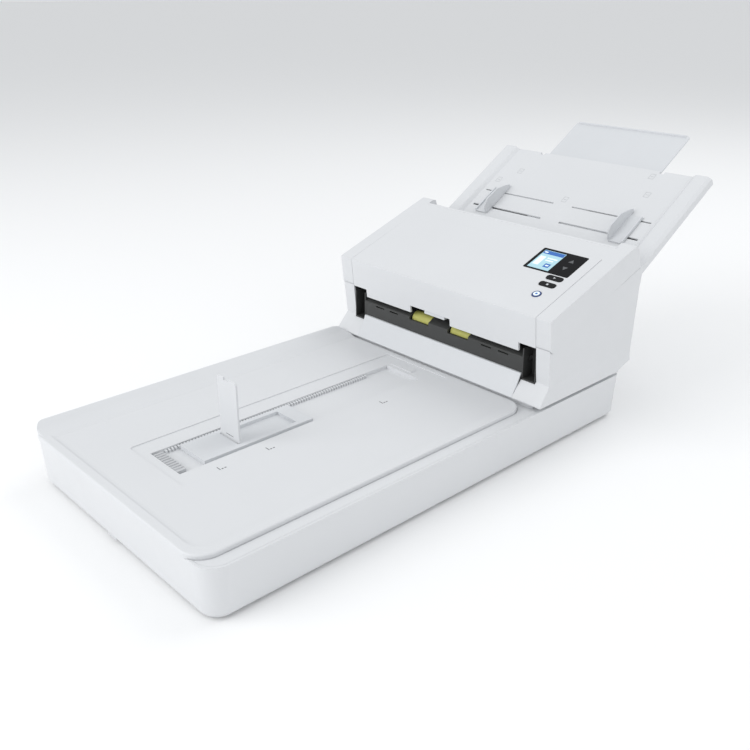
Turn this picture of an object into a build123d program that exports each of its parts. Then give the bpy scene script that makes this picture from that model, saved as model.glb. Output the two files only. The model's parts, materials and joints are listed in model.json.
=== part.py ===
"""Combination document scanner: a flatbed with a hinged lid, and behind it a sheet feeder that drops its
pages on the lid. Millimetres, +Z up, front towards -Y. The origin is the middle of the footprint, on the
table."""

import math
import os

from build123d import *

# ---------------------------------------------------------------- flatbed casing
BED_W, BED_L = 216.0, 356.0  # glass window for one legal sheet
SIDE_LEFT, SIDE_RIGHT = 41.0, 57.0  # casing beside the window
MARGIN_FRONT, MARGIN_REAR = 22.0, 22.0  # casing before and behind the window, up to the lid's rear edge
FEEDER_GAP = 8.4  # lid's rear edge to the feeder's front face
FEEDER_SEAT = 141.6  # feeder's front face to the back of the casing
FOOT_H = 3.0
RIDGE_Z = 53.0  # top of the casing's side walls
WALL = 2.5
CORNER_FRONT, CORNER_REAR = 21.0, 8.0
DRAFT = 3.0  # degrees, sides lean in towards the bottom
GLASS_T = 3.0
GLASS_TOP = 44.0
GLASS_LAP = 9.0  # glass hidden under the frame on each side

# ---------------------------------------------------------------- lid
LID_INSET = 15.6  # bare strip of casing to the right of the lid
LID_UNDER = 52.2
LID_FLOOR = 56.0  # the shallow tray on the lid where pages land
LID_RIM = 57.4
LID_FLANGE = 65.5  # raised flange along the hinge side
LID_CORNER = 22.0
LID_OVERHANG = 1.0
PAN_BOTTOM = 47.0
PAN_GAP = 3.0  # lid's under-pan to the window walls
MAT_T = 2.6
HINGE_OUT, HINGE_Z = 3.5, 53.0  # lid hinge axis: out from the left wall, and its height
HINGE_PIN_R, KNUCKLE_R = 2.0, 3.2
HINGE_LENGTH = 28.0

# ---------------------------------------------------------------- paper stopper on the lid
CHANNEL_LEFT, CHANNEL_RIGHT = -36.0, 16.0
CHANNEL_END_GAP = 7.0  # channel's rear end to the lid's rear edge
CHANNEL_FRONT_GAP = 64.0  # channel's front end to the lid's front edge
CHANNEL_FLOOR = 51.0
STOPPER_W, STOPPER_H, STOPPER_T = 31.0, 65.0, 2.2
STOPPER_FROM_FRONT = 137.0  # flap hinge to the lid's front edge
SLED_T = 4.6
SLED_FRONT, SLED_REAR = 44.0, 85.0  # sled lengths before and behind the flap hinge

# ---------------------------------------------------------------- sheet feeder, in its own frame
DECK_Z = 58.0  # height of the feeder's floor
FEEDER_PROUD = 2.0  # feeder wider than the casing, each side
CHEEK_W = 18.7
TOP_SLOPE = 19.36
FRONT_TOP = 93.8  # front top edge above the feeder's floor
FRONT_LEAN = 0.108  # front face leans back by this much per mm going down
TOE_OUT, RIDGE_V = 7.4, 20.2  # toe of the plinth before the front face, and the plinth's height
SIDE_CREASE = 1.6  # side walls lean in by this much down to the top of the plinth
COVER_LIP = 49.5  # lower edge of the cover over the exit
COLUMN_TOP = 59.0
COLUMN_W = 22.0
SILL_V = 25.0  # top of the exit ramp
PANEL_END = 108.1  # rear seam of the top panel
STRIP_END = 134.0  # rear edge of the cover between the cheeks
REAR_U = 161.2
COVER_PIVOT = (9.6, 63.6)
PIVOT_PIN_R, PIVOT_EAR_R, PIVOT_KNUCKLE_R = 2.0, 3.6, 6.4
EAR_IN, EAR_OUT = 9.3, 2.8  # ears of the cover hinge, inwards from the window's sides
SEAM_GAP = 0.4
SEAM_SLOPE, SEAM_AT = 19.87, (12.4, 65.3)

# ---------------------------------------------------------------- paper path and rollers
PATH_SLOPE, PATH_START = 22.0, (8.0, 44.0)
PATH_GAP = 1.5
PLATE_T = 2.0
PATH_LENGTH = 161.0
ROLLER_R, FEED_R, SEPARATION_R, PINCH_R = 8.5, 13.0, 11.0, 5.0
ROLLER_PROUD = 0.25
SHAFT_R = 3.0
PULLEY_R, PULLEY_W = 4.2, 5.0
PULLEY_IN = 1.0  # pulleys inwards from the pockets
EXIT_P, DRIVE_P, FEED_P = 8.4, 59.0, 112.0  # roller places along the path
TYRE_IN, TYRE_OUT = 16.0, 44.5
SCAN_P, SCAN_LEN = 76.0, 16.0
NIP_GAP = 0.3

# ---------------------------------------------------------------- input tray
TRAY_SLOPE = 30.9
TRAY_AT = (165.0, 109.5)
TRAY_HALF, RAIL_HALF = 153.0, 129.0
TRAY_LEN, TRAY_START = 158.6, 4.0
TRAY_SKIN, TRAY_DEEP, RAIL_UP = 2.0, 8.2, 4.7
TRAY_PIVOT = (-7.0, 27.0)  # fold axis, along and above the tray's surface
TRAY_PIN_R, TRAY_BOSS_R = 3.0, 8.0
GUIDE_X, GUIDE_FLANGE, GUIDE_H = 92.0, 19.0, 16.5
GUIDE_IN, GUIDE_OUT = 66.0, 16.0  # travel of each paper guide inwards and outwards
SLOT_LOW, SLOT_HIGH = 43.8, 72.9
PINION_TEETH, PINION_MODULE = 24, 1.0
EXT_HALF, EXT_T, EXT_TOP = 84.0, 2.1, -4.3
EXT_SHOWN, EXT_HELD = 73.0, 42.0

# ---------------------------------------------------------------- scanning carriage under the glass
ROD_R, ROD_Z = 4.0, 17.0
CARRIAGE_LEN = 40.0
CARRIAGE_BOTTOM, CARRIAGE_TOP = 24.0, 38.5
BELT_X, BELT_R, BELT_T, BELT_Z, BELT_W = 46.0, 8.0, 1.2, 13.0, 6.0

FIT = 0.05  # running clearance on the radius of pins and shafts
CLEAR = 0.3  # clearance between sliding pieces

# ---------------------------------------------------------------- sizes that follow
BASE_W = SIDE_LEFT + BED_W + SIDE_RIGHT
LID_LEN = MARGIN_FRONT + BED_L + MARGIN_REAR
BASE_L = LID_LEN + FEEDER_GAP + FEEDER_SEAT
HALF_W, HALF_L = BASE_W / 2, BASE_L / 2
BED_X0 = -HALF_W + SIDE_LEFT
BED_X1 = BED_X0 + BED_W
BED_Y0 = -HALF_L + MARGIN_FRONT
BED_Y1 = BED_Y0 + BED_L
LID_Y0, LID_Y1 = -HALF_L - LID_OVERHANG, -HALF_L + LID_LEN
LID_X1 = HALF_W - LID_INSET
FRONT_Y = HALF_L - FEEDER_SEAT
FEEDER = Location((0, FRONT_Y, DECK_Z))
FEEDER_HALF = HALF_W + FEEDER_PROUD
WINDOW_HALF = FEEDER_HALF - CHEEK_W
COLUMN_IN = WINDOW_HALF - COLUMN_W
SCAN_HALF = BED_W / 2 + 1
POCKET_IN = COLUMN_IN + 3.6  # inner wall of the pockets at the ends of the exit
PULLEY_X = -POCKET_IN + PULLEY_IN + PULLEY_W
STOPPER_Y = LID_Y0 + STOPPER_FROM_FRONT
SLED_TOP = CHANNEL_FLOOR + CLEAR / 2 + SLED_T
FRAME_TOP = LID_UNDER - 0.4


# ---------------------------------------------------------------- helpers
def block(x0, x1, y0, y1, z0, z1):
    """A box given by its two corners."""
    return Pos((x0 + x1) / 2, (y0 + y1) / 2, (z0 + z1) / 2) * Box(abs(x1 - x0), abs(y1 - y0), abs(z1 - z0))


def slab(x0, x1, y0, y1, z0, z1, radius):
    """A plate with rounded corners in plan."""
    plan = Pos((x0 + x1) / 2, (y0 + y1) / 2, z0) * RectangleRounded(x1 - x0, y1 - y0, radius)
    return extrude(plan, z1 - z0)


def across(points, x0, x1):
    """A side outline in Y and Z, carried along X."""
    outline = Plane.YZ.offset(x0) * make_face(Polyline(*points, close=True))
    return extrude(outline, x1 - x0)


def along(points, y0, y1):
    """A front outline in X and Z, carried along Y."""
    outline = Plane.XZ.offset(-y0) * make_face(Polyline(*points, close=True))
    return extrude(outline, y0 - y1)


def rod_x(y, z, radius, x0, x1):
    return Pos((x0 + x1) / 2, y, z) * Rot(0, 90, 0) * Cylinder(radius, x1 - x0)


def rod_y(x, z, radius, y0, y1):
    return Pos(x, (y0 + y1) / 2, z) * Rot(90, 0, 0) * Cylinder(radius, y1 - y0)


def rod_z(x, y, radius, z0, z1):
    return Pos(x, y, (z0 + z1) / 2) * Cylinder(radius, z1 - z0)


def both(make):
    """The same piece made on the left and on the right."""
    return make(-1) + make(1)


def span(side, x0, x1):
    """A range of x on one side of the middle."""
    return (side * x0, side * x1) if side > 0 else (side * x1, side * x0)


def slope(origin, degrees):
    """A tilted frame: X across, Y up the slope, Z out of the surface."""
    t = math.radians(degrees)
    return Location(Plane(origin=(0, *origin), x_dir=(1, 0, 0), z_dir=(0, -math.sin(t), math.cos(t))))


PATH = slope(PATH_START, PATH_SLOPE)
TOP = slope((0, FRONT_TOP), TOP_SLOPE)
TRAY = slope(TRAY_AT, TRAY_SLOPE)


def on_path(p, q):
    """Feeder's u, v of a point p along the paper path and q above it."""
    t = math.radians(PATH_SLOPE)
    u = PATH_START[0] + p * math.cos(t) - q * math.sin(t)
    return u, PATH_START[1] + p * math.sin(t) + q * math.cos(t)


def on_tray(t, n):
    """Feeder's u, v of a point t up the tray and n above it."""
    a = math.radians(TRAY_SLOPE)
    return TRAY_AT[0] + t * math.cos(a) - n * math.sin(a), TRAY_AT[1] + t * math.sin(a) + n * math.cos(a)


def path_v(u):
    return PATH_START[1] + (u - PATH_START[0]) * math.tan(math.radians(PATH_SLOPE))


def top_v(u):
    return FRONT_TOP + u * math.tan(math.radians(TOP_SLOPE))


def seam_v(u):
    return SEAM_AT[1] + (u - SEAM_AT[0]) * math.tan(math.radians(SEAM_SLOPE))


def face_u(v):
    return (FRONT_TOP - v) * FRONT_LEAN


# ---------------------------------------------------------------- flatbed casing
def lid_outline(grow, z0, z1):
    return slab(-HALF_W - grow, LID_X1 + grow, LID_Y0 - grow, LID_Y1 + grow, z0, z1, LID_CORNER + grow)


BELT_CENTRE_Y = LID_Y1 + 18.0  # motor shaft, behind the window
IDLER_Y = -HALF_L + WALL + 14.0
SHELF_X = BED_X1 - 12.0  # rib that carries the free end of the carriage
ROD_X = (BED_X0 + BED_X1) / 2
SOCKET_Z, SOCKET_H = 16.0, 12.0
SOCKETS = {"power_inlet": (-100.0, 12.0), "usb_socket": (-66.0, 12.0)}


def footprint():
    """Plan of the casing: large radii at the front, small ones at the back."""
    plan = Rectangle(BASE_W, BASE_L)
    plan = fillet(plan.vertices().group_by(Axis.Y)[0], CORNER_FRONT)
    return fillet(plan.vertices().group_by(Axis.Y)[-1], CORNER_REAR)


def base_tub():
    edge = 4.0  # height of the slanted bottom edge
    plan = Pos(0, 0, RIDGE_Z) * footprint()
    body = extrude(plan, RIDGE_Z - FOOT_H - edge, dir=(0, 0, -1), taper=DRAFT)
    body += extrude(body.faces().sort_by(Axis.Z)[0], edge, dir=(0, 0, -1), taper=35)
    lean = (RIDGE_Z - FOOT_H) * math.tan(math.radians(DRAFT))
    inner = slab(-HALF_W + WALL + lean, HALF_W - WALL - lean, -HALF_L + WALL + lean, HALF_L - WALL - lean,
                 FOOT_H + WALL, RIDGE_Z + 1, CORNER_FRONT - WALL)
    seat = slab(-HALF_W + WALL, HALF_W - WALL, -HALF_L + WALL, HALF_L - WALL, FRAME_TOP - 6, RIDGE_Z + 1,
                CORNER_FRONT - WALL)
    body -= inner + seat
    body -= lid_outline(0.6, FRAME_TOP, RIDGE_Z + 1)
    floor = FOOT_H + WALL
    front_in = -HALF_L + WALL
    body += block(ROD_X - 8, ROD_X + 8, front_in, front_in + 10, floor - 1, ROD_Z + 8)
    body += block(ROD_X - 8, ROD_X + 8, LID_Y1 - 8, LID_Y1 + 2, floor - 1, ROD_Z + 8)
    body -= rod_y(ROD_X, ROD_Z, ROD_R, front_in + 2, LID_Y1)
    body += block(SHELF_X - 2, SHELF_X + 2, front_in + 20, LID_Y1 - 8, floor - 1,
                  CARRIAGE_BOTTOM - 4 - CLEAR)
    body += rod_z(BELT_X, IDLER_Y, 2.0, floor - 1, BELT_Z + BELT_W + 2)
    for x in (BELT_X - 21, BELT_X + 21):
        body += block(x - 3, x + 3, BELT_CENTRE_Y - 14, BELT_CENTRE_Y + 14, floor - 1,
                      BELT_Z + BELT_W + 1.5)
    for x, half in SOCKETS.values():
        body -= block(x - half / 2, x + half / 2, HALF_L - 14, HALF_L + 1, SOCKET_Z, SOCKET_Z + SOCKET_H)
    for k in range(3):
        z = 20.0 + 6 * k
        body -= block(-HALF_W + 4, -HALF_W + 10, -HALF_L - 1, -HALF_L + CORNER_FRONT + 4, z, z + 2.4)
    for x in (-60, -30, 30, 60):
        body -= block(x - 10, x + 10, HALF_L - 14, HALF_L + 1, 34, 36.5)
    return body


def rubber_feet():
    corners = [(x, y) for x in (-HALF_W + 26, HALF_W - 26) for y in (-HALF_L + 30, HALF_L - 30)]
    return Compound(children=[rod_z(x, y, 9, 0, FOOT_H) for x, y in corners + [(0, 0)]])


def top_frame():
    x0, x1 = -HALF_W + WALL + CLEAR, HALF_W - WALL - CLEAR
    y0, y1 = -HALF_L + WALL + CLEAR, HALF_L - WALL - CLEAR
    frame = slab(x0, x1, y0, y1, FRAME_TOP - 2, FRAME_TOP, CORNER_FRONT - WALL - CLEAR)
    strip = slab(x0, x1, y0, y1, FRAME_TOP - 2, RIDGE_Z, CORNER_FRONT - WALL - CLEAR)
    strip -= lid_outline(0.8, 0, 100)
    strip -= block(-HALF_W, HALF_W, LID_Y1 + 2, HALF_L, 0, 100)
    strip -= block(-HALF_W, 0, -HALF_L, HALF_L, 0, 100)
    frame += strip
    frame += slab(BED_X0 - WALL, BED_X1 + WALL, BED_Y0 - WALL, BED_Y1 + WALL, GLASS_TOP, FRAME_TOP, WALL)
    frame -= block(BED_X0, BED_X1, BED_Y0, BED_Y1, 0, 100)
    riser = slab(x0 + 3, x1 - 3, LID_Y1 + 6, y1 - 4, FRAME_TOP - 1, DECK_Z, CORNER_FRONT - 5)
    riser -= block(x0 + 6, x1 - 6, LID_Y1 + 9, y1 - 7, 0, DECK_Z - WALL)
    return frame + riser


def flatbed_glass():
    lap = GLASS_LAP
    return block(BED_X0 - lap, BED_X1 + lap, BED_Y0 - lap, BED_Y1 + lap, GLASS_TOP - GLASS_T, GLASS_TOP)


def carriage_rod():
    return rod_y(ROD_X, ROD_Z, ROD_R, -HALF_L + WALL + 2, LID_Y1)


CARRIAGE_Y = BED_Y1 - CARRIAGE_LEN / 2 + 4  # parked at the rear of the window


def scan_carriage():
    y0, y1 = CARRIAGE_Y - CARRIAGE_LEN / 2, CARRIAGE_Y + CARRIAGE_LEN / 2
    body = block(BED_X0 - 6, BED_X1 + 6, y0, y1, CARRIAGE_BOTTOM, CARRIAGE_TOP)
    body -= block(BED_X0, BED_X1, CARRIAGE_Y - 5, CARRIAGE_Y + 5, CARRIAGE_TOP - 6, CARRIAGE_TOP + 1)
    body += block(ROD_X - 9, ROD_X + 9, y0, y1, ROD_Z - 7, CARRIAGE_BOTTOM + 1)
    body -= rod_y(ROD_X, ROD_Z, ROD_R + FIT, y0 - 1, y1 + 1)
    body += block(SHELF_X - 4, SHELF_X + 4, y0 + 8, y1 - 8, CARRIAGE_BOTTOM - 4, CARRIAGE_BOTTOM + 1)
    run = BELT_X + BELT_R + BELT_T / 2 + FIT
    for side in (-1, 1):
        x = run + side * (BELT_T / 2 + CLEAR + 1.0)
        body += block(x - 1, x + 1, CARRIAGE_Y - 5, CARRIAGE_Y + 5, BELT_Z - 1, CARRIAGE_BOTTOM + 1)
    return body


def carriage_belt():
    def loop(radius):
        middle = (IDLER_Y + BELT_CENTRE_Y) / 2
        shape = SlotCenterToCenter(BELT_CENTRE_Y - IDLER_Y, 2 * radius, rotation=90)
        return extrude(Pos(BELT_X, middle, BELT_Z) * shape, BELT_W)

    return loop(BELT_R + FIT + BELT_T) - loop(BELT_R + FIT)


def idler_pulley():
    z = BELT_Z - 1
    wheel = rod_z(BELT_X, IDLER_Y, BELT_R, z, z + BELT_W + 2)
    return wheel - rod_z(BELT_X, IDLER_Y, 2.0 + FIT, z - 1, z + BELT_W + 3)


def carriage_pulley():
    z = BELT_Z - 1
    wheel = rod_z(BELT_X, BELT_CENTRE_Y, BELT_R, z, z + BELT_W + 2)
    return wheel - rod_z(BELT_X, BELT_CENTRE_Y, 1.5 + FIT, z - 1, z + BELT_W + 3)


def carriage_motor():
    z = BELT_Z + BELT_W + 1.5
    y = BELT_CENTRE_Y
    plate = block(BELT_X - 24, BELT_X + 24, y - 14, y + 14, z, z + 1.5)
    can = rod_z(BELT_X, y, 13.5, z + 1.5, z + 20)
    return plate + can + rod_z(BELT_X, y, 1.5, BELT_Z - 1, z + 1)


def control_board():
    floor = FOOT_H + WALL
    x0, y0 = -HALF_W + 40, LID_Y1 + 20
    board = block(x0, x0 + 90, y0, HALF_L - 20, floor + 4, floor + 5.6)
    for dx, dy, w, d, h in ((20, 30, 18, 18, 2), (60, 24, 12, 12, 2), (50, 66, 14, 8, 6),
                            (24, 80, 10, 10, 9)):
        board += block(x0 + dx, x0 + dx + w, y0 + dy, y0 + dy + d, floor + 5, floor + 5.6 + h)
    for dx in (4, 86):
        for dy in (4, 100):
            board += rod_z(x0 + dx, y0 + dy, 2.5, floor, floor + 4.5)
    return board


def socket(name):
    x, size = SOCKETS[name]
    half = size / 2 - 0.1
    body = block(x - half, x + half, HALF_L - 16, HALF_L - 3, SOCKET_Z + 0.1, SOCKET_Z + SOCKET_H - 0.1)
    middle = SOCKET_Z + SOCKET_H / 2
    if name == "power_inlet":
        body -= rod_y(x, middle, 4.2, HALF_L - 13, HALF_L)
        return body + rod_y(x, middle, 1.0, HALF_L - 14, HALF_L - 5)
    body -= block(x - 4, x + 4, HALF_L - 13, HALF_L, middle - 3.8, middle + 3.8)
    return body + block(x - 2.6, x + 2.6, HALF_L - 14, HALF_L - 5, middle - 1.4, middle + 1.4)


# ---------------------------------------------------------------- lid and its hinges
HINGE_X = -HALF_W - HINGE_OUT
HINGE_Y = (LID_Y0 + 0.22 * LID_LEN, LID_Y0 + 0.78 * LID_LEN)


def hinge_brackets():
    made, wall = [], base_tub()
    for y in HINGE_Y:
        part = block(HINGE_X - KNUCKLE_R, -HALF_W + 2, y - HINGE_LENGTH / 2, y + HINGE_LENGTH / 2,
                     HINGE_Z - 22, HINGE_Z - KNUCKLE_R - 1) - wall
        for side in (-1, 1):
            y0, y1 = sorted((y + side * 8, y + side * HINGE_LENGTH / 2))
            part += rod_y(HINGE_X, HINGE_Z, KNUCKLE_R - CLEAR, y0, y1)
            part += block(HINGE_X - KNUCKLE_R + CLEAR, HINGE_X + KNUCKLE_R - CLEAR, y0, y1,
                          HINGE_Z - KNUCKLE_R - 2, HINGE_Z)
        made.append(part - rod_y(HINGE_X, HINGE_Z, HINGE_PIN_R, y - 20, y + 20))
    return Compound(children=made)


def hinge_pins():
    return Compound(children=[rod_y(HINGE_X, HINGE_Z, HINGE_PIN_R, y - 14, y + 14) for y in HINGE_Y])


def lid_shell():
    body = lid_outline(0, LID_UNDER, LID_RIM)
    body = fillet(body.faces().sort_by(Axis.Z)[-1].edges(), 1.8)
    x0, x1, y0, y1 = -HALF_W, LID_X1, LID_Y0, LID_Y1
    flange = [(x0, LID_UNDER + 1), (x0, LID_FLANGE - 3), (x0 + 2.5, LID_FLANGE - 0.4),
              (x0 + 6, LID_FLANGE - 0.2),
              (x0 + 14, LID_FLANGE - 4.5), (x0 + 30, LID_FLOOR + 0.4), (x0 + 34, LID_FLOOR - 1),
              (x0 + 34, LID_UNDER + 1)]
    wall = along(flange, y0 + 2, y1) & lid_outline(0, 0, 100)
    body -= slab(x0 + 12, x1 - 12, y0 + 9, y1 + 40, LID_FLOOR, 100, 16)
    body += wall
    body -= slab(CHANNEL_LEFT - 22, CHANNEL_RIGHT + 22, y0 + CHANNEL_FRONT_GAP - 10, y1 - CHANNEL_END_GAP,
                 LID_FLOOR - 0.9, 100, 4)
    well = (CHANNEL_LEFT, CHANNEL_RIGHT, y0 + CHANNEL_FRONT_GAP, y1 - CHANNEL_END_GAP)
    body += block(well[0] - 1.5, well[1] + 1.5, well[2] - 1.5, min(well[3] + 1.5, BED_Y1 - PAN_GAP - 4),
                  CHANNEL_FLOOR - 1.4, LID_FLOOR - 1)
    body -= block(well[0], well[1], well[2], min(well[3], BED_Y1 - PAN_GAP - 6), CHANNEL_FLOOR, 100)
    for y in HINGE_Y:
        arm = rod_y(HINGE_X, HINGE_Z, KNUCKLE_R, y - 7.6, y + 7.6)
        arm += block(HINGE_X, x0 + 6, y - 7.6, y + 7.6, HINGE_Z, HINGE_Z + KNUCKLE_R)
        body += arm
        body -= rod_y(HINGE_X, HINGE_Z, HINGE_PIN_R + FIT, y - 20, y + 20)
    return body


def lid_pan():
    x0, x1 = BED_X0 + PAN_GAP, BED_X1 - PAN_GAP
    y0, y1 = BED_Y0 + PAN_GAP, BED_Y1 - PAN_GAP
    pan = slab(x0, x1, y0, y1, PAN_BOTTOM, LID_UNDER, 4)
    return pan - slab(x0 + 2, x1 - 2, y0 + 2, y1 - 2, PAN_BOTTOM + 1.2, 100, 3)


def document_mat():
    g = PAN_GAP + 2
    return slab(BED_X0 + g, BED_X1 - g, BED_Y0 + g, BED_Y1 - g, PAN_BOTTOM - MAT_T, PAN_BOTTOM, 3)


def stopper_grip():
    y0 = LID_Y0 + CHANNEL_FRONT_GAP + 0.4
    pad = block(CHANNEL_LEFT + 3, CHANNEL_RIGHT - 6, y0, y0 + 10, CHANNEL_FLOOR, SLED_TOP - 1.2)
    for k in range(9):
        x = CHANNEL_LEFT + 5 + 4.4 * k
        pad += block(x, x + 2, y0, y0 + 10, CHANNEL_FLOOR, SLED_TOP - 0.2)
    return pad


SLED_X0, SLED_X1 = CHANNEL_LEFT + 5.0, CHANNEL_LEFT + 48.0
FLAP_X = (SLED_X0 + SLED_X1) / 2
FLAP_Z = CHANNEL_FLOOR + 3.0


def stopper_sled():
    z0, z1 = CHANNEL_FLOOR + CLEAR / 2, SLED_TOP
    sled = block(SLED_X0, SLED_X1, STOPPER_Y - SLED_FRONT, STOPPER_Y + SLED_REAR, z0, z1)
    half = STOPPER_W / 2 + CLEAR
    sled -= block(FLAP_X - half, FLAP_X + half, STOPPER_Y - 2.6, STOPPER_Y + STOPPER_H + 3, z0 + 1.2, 100)
    sled -= rod_x(STOPPER_Y, FLAP_Z, 1.0 + FIT, FLAP_X - half - 3, FLAP_X + half + 3)
    return sled


def stopper_flap():
    x0, x1 = FLAP_X - STOPPER_W / 2, FLAP_X + STOPPER_W / 2
    y0, y1 = STOPPER_Y - STOPPER_T / 2, STOPPER_Y + STOPPER_T / 2
    top = FLAP_Z + STOPPER_H
    flap = block(x0, x1, y0, y1, FLAP_Z, top)
    flap = fillet(flap.edges().filter_by(Axis.Y).group_by(Axis.Z)[-1], 4)
    flap -= block(FLAP_X - 5, FLAP_X + 3, y0 - 1, y1 + 1, top - 3, top + 1)
    flap += rod_x(STOPPER_Y, FLAP_Z, 1.5, x0, x1)
    return flap + rod_x(STOPPER_Y, FLAP_Z, 1.0, x0 - 2.5, x1 + 2.5)


# ---------------------------------------------------------------- sheet feeder: fixed lower half
def lower_outline():
    points = [(-TOE_OUT, 0), (-TOE_OUT, 1.5), (face_u(RIDGE_V), RIDGE_V),
              (face_u(SEAM_AT[1] - 4), SEAM_AT[1] - 4),
              SEAM_AT, (REAR_U - 16, seam_v(REAR_U - 16)), (REAR_U - 3.1, seam_v(REAR_U - 3.1)),
              (REAR_U, seam_v(REAR_U) - 6.5), (REAR_U - 2.2, 93), (REAR_U - 4.4, 20), (REAR_U - 4.4, 8),
              (REAR_U - 26.6, 1.6), (REAR_U - 26.6, 0)]
    return points


def hollow(points, wall):
    """The same side outline, moved in by the wall."""
    face = make_face(Polyline(*points, close=True))
    return offset(face, -wall)


def lower_housing():
    body = across(lower_outline(), -FEEDER_HALF, FEEDER_HALF)
    inner_half = FEEDER_HALF - WALL - SIDE_CREASE
    body -= extrude(Plane.YZ.offset(-inner_half) * hollow(lower_outline(), WALL), 2 * inner_half)
    crease = [(FEEDER_HALF, 0), (FEEDER_HALF - SIDE_CREASE, RIDGE_V), (FEEDER_HALF, seam_v(REAR_U)),
              (FEEDER_HALF + 1, seam_v(REAR_U)), (FEEDER_HALF + 1, 0)]
    body -= along(crease, -20, REAR_U + 20) + along([(-x, z) for x, z in crease], -20, REAR_U + 20)
    body -= rod_x(*COVER_PIVOT, PIVOT_KNUCKLE_R + SEAM_GAP, -FEEDER_HALF - 1, FEEDER_HALF + 1)
    mouth = [(-30, SILL_V), (-30, 200), (REAR_U + 20, 200), (REAR_U + 20, path_v(REAR_U + 20) + 0.6),
             (PATH_START[0] + 14, path_v(PATH_START[0] + 14) - 30), (PATH_START[0] + 14, SILL_V)]
    body -= across(mouth, -WINDOW_HALF, WINDOW_HALF)
    body -= block(-WINDOW_HALF, WINDOW_HALF, -30, 24, SILL_V - 7.3, SILL_V + 60)
    ramp_half = COLUMN_IN + 3.5
    body -= block(-ramp_half, ramp_half, -30, 12, 0, SILL_V + 1)
    return body


def exit_ramp():
    outline = [(-TOE_OUT, 0), (-TOE_OUT, 1.5), (4.0, SILL_V - 3.5), (5.0, SILL_V), (11.5, SILL_V),
               (11.5, SILL_V - 2.5),
               (6.3, SILL_V - 2.5), (-3.5, 2.5), (-3.5, 0)]
    half = COLUMN_IN + 3.5 - CLEAR / 3
    return across(outline, -half, half)


ROLLER_Q = ROLLER_PROUD - ROLLER_R
FEED_Q = ROLLER_PROUD - FEED_R


def exit_fascia():
    """Dark frame of the exit: a front panel, its lip along the paper path and a deep pocket at each end."""
    u0 = face_u(SILL_V) - 0.4
    lip_end = on_path(16, 0)[0]
    edge = PATH_START[0] - 0.6
    panel = across([(u0, SILL_V + 0.2), (edge - 1.0, path_v(edge) - 1.2), (edge, path_v(edge)),
                    (lip_end, path_v(lip_end)), (lip_end, path_v(lip_end) - PLATE_T),
                    (edge + 2.4, path_v(edge) - PLATE_T), (u0 + 2.5, SILL_V + 0.2)], -POCKET_IN - 0.3,
                    POCKET_IN + 0.3)
    for centre in (-1, 1):
        x0, x1 = span(centre, TYRE_IN - 1, TYRE_OUT + 1)
        panel -= block(x0, x1, edge + 2.5, 60, 0, 200)
        panel -= block(x0, x1, -5, 20, path_v(edge) - 4.5, 200)
    for x in (-96, -72, 72, 96):
        panel -= block(x - 7, x + 7, -5, edge + 2, path_v(edge) - 4.4, path_v(edge) - 2.6)

    def pocket(side):
        x0, x1 = span(side, POCKET_IN, WINDOW_HALF - CLEAR)
        shell = block(x0, x1, 6.5, 23.6, SILL_V - 7, COLUMN_TOP - 6)
        x0, x1 = span(side, POCKET_IN + 1.5, WINDOW_HALF - 1.5)
        shell -= block(x0, x1, 0, 22.1, SILL_V - 5.5, 200)
        u, v = COVER_PIVOT
        x0, x1 = span(side, WINDOW_HALF - EAR_IN, WINDOW_HALF - EAR_OUT)
        shell += rod_x(u, v, PIVOT_EAR_R, x0, x1)
        shell += across([(u, v - 2), (22.4, 48), (23.6, 48), (23.6, 53), (u + 1.5, v + 2.5)], x0, x1)
        shell -= rod_x(u, v, PIVOT_PIN_R + FIT, *span(side, POCKET_IN, WINDOW_HALF))
        return shell - rod_x(*on_path(EXIT_P, ROLLER_Q), SHAFT_R + FIT,
                             *span(side, POCKET_IN - 1, POCKET_IN + 3))

    return panel + pocket(-1) + pocket(1)


def lower_paper_guide():
    half = WINDOW_HALF - 3.0
    plate = block(-half, half, 17, PATH_LENGTH, -PLATE_T, 0)
    for side in (-1, 1):
        x0, x1 = span(side, TYRE_IN - 1, TYRE_OUT + 1)
        plate -= block(x0, x1, DRIVE_P - 9, DRIVE_P + 9, -3, 1)
    plate -= block(-TYRE_OUT / 2 - 5, TYRE_OUT / 2 + 5, FEED_P - 14, FEED_P + 14, -3, 1)
    plate -= block(-SCAN_HALF - CLEAR, SCAN_HALF + CLEAR, SCAN_P, SCAN_P + SCAN_LEN, -3, 1)
    for k in range(-5, 6):
        x = 11.5 * k
        if abs(x) > TYRE_OUT + 4:
            plate += block(x - 0.8, x + 0.8, 20, SCAN_P - 4, -0.1, 0.35)
    return PATH * plate


def scan_bar(under):
    """Contact image sensor with its glass, 16 mm along the path."""
    q0, q1 = (-15.0, -0.1) if under else (PATH_GAP + 0.1, PATH_GAP + 15)
    return PATH * block(-SCAN_HALF, SCAN_HALF, SCAN_P + 0.5, SCAN_P + SCAN_LEN - 0.5, q0, q1)


def side_frames():
    t0, t1 = WINDOW_HALF - 1.7, WINDOW_HALF - 0.2
    outline = [(24, 4), (24, path_v(24) - 8), (40, path_v(40) + 2), (148, path_v(148) + 2), (148, 12),
               (132, 4)]

    def plate(side):
        frame = across(outline, *span(side, t0, t1))
        for p, q in ((DRIVE_P, ROLLER_Q), (FEED_P, FEED_Q)):
            frame -= rod_x(*on_path(p, q), SHAFT_R + FIT, *span(side, t0 - 1, t1 + 1))
        return frame

    return Compound(children=[plate(-1), plate(1)])


def tyre(u, v, radius, bore, x0, x1):
    return rod_x(u, v, radius, x0, x1) - rod_x(u, v, bore, x0 - 1, x1 + 1)


def powered_shaft(p, q, half):
    """Steel shaft with its belt pulley near the left end."""
    u, v = on_path(p, q)
    return rod_x(u, v, SHAFT_R, -half, half) + rod_x(u, v, PULLEY_R, PULLEY_X - PULLEY_W, PULLEY_X)


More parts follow.
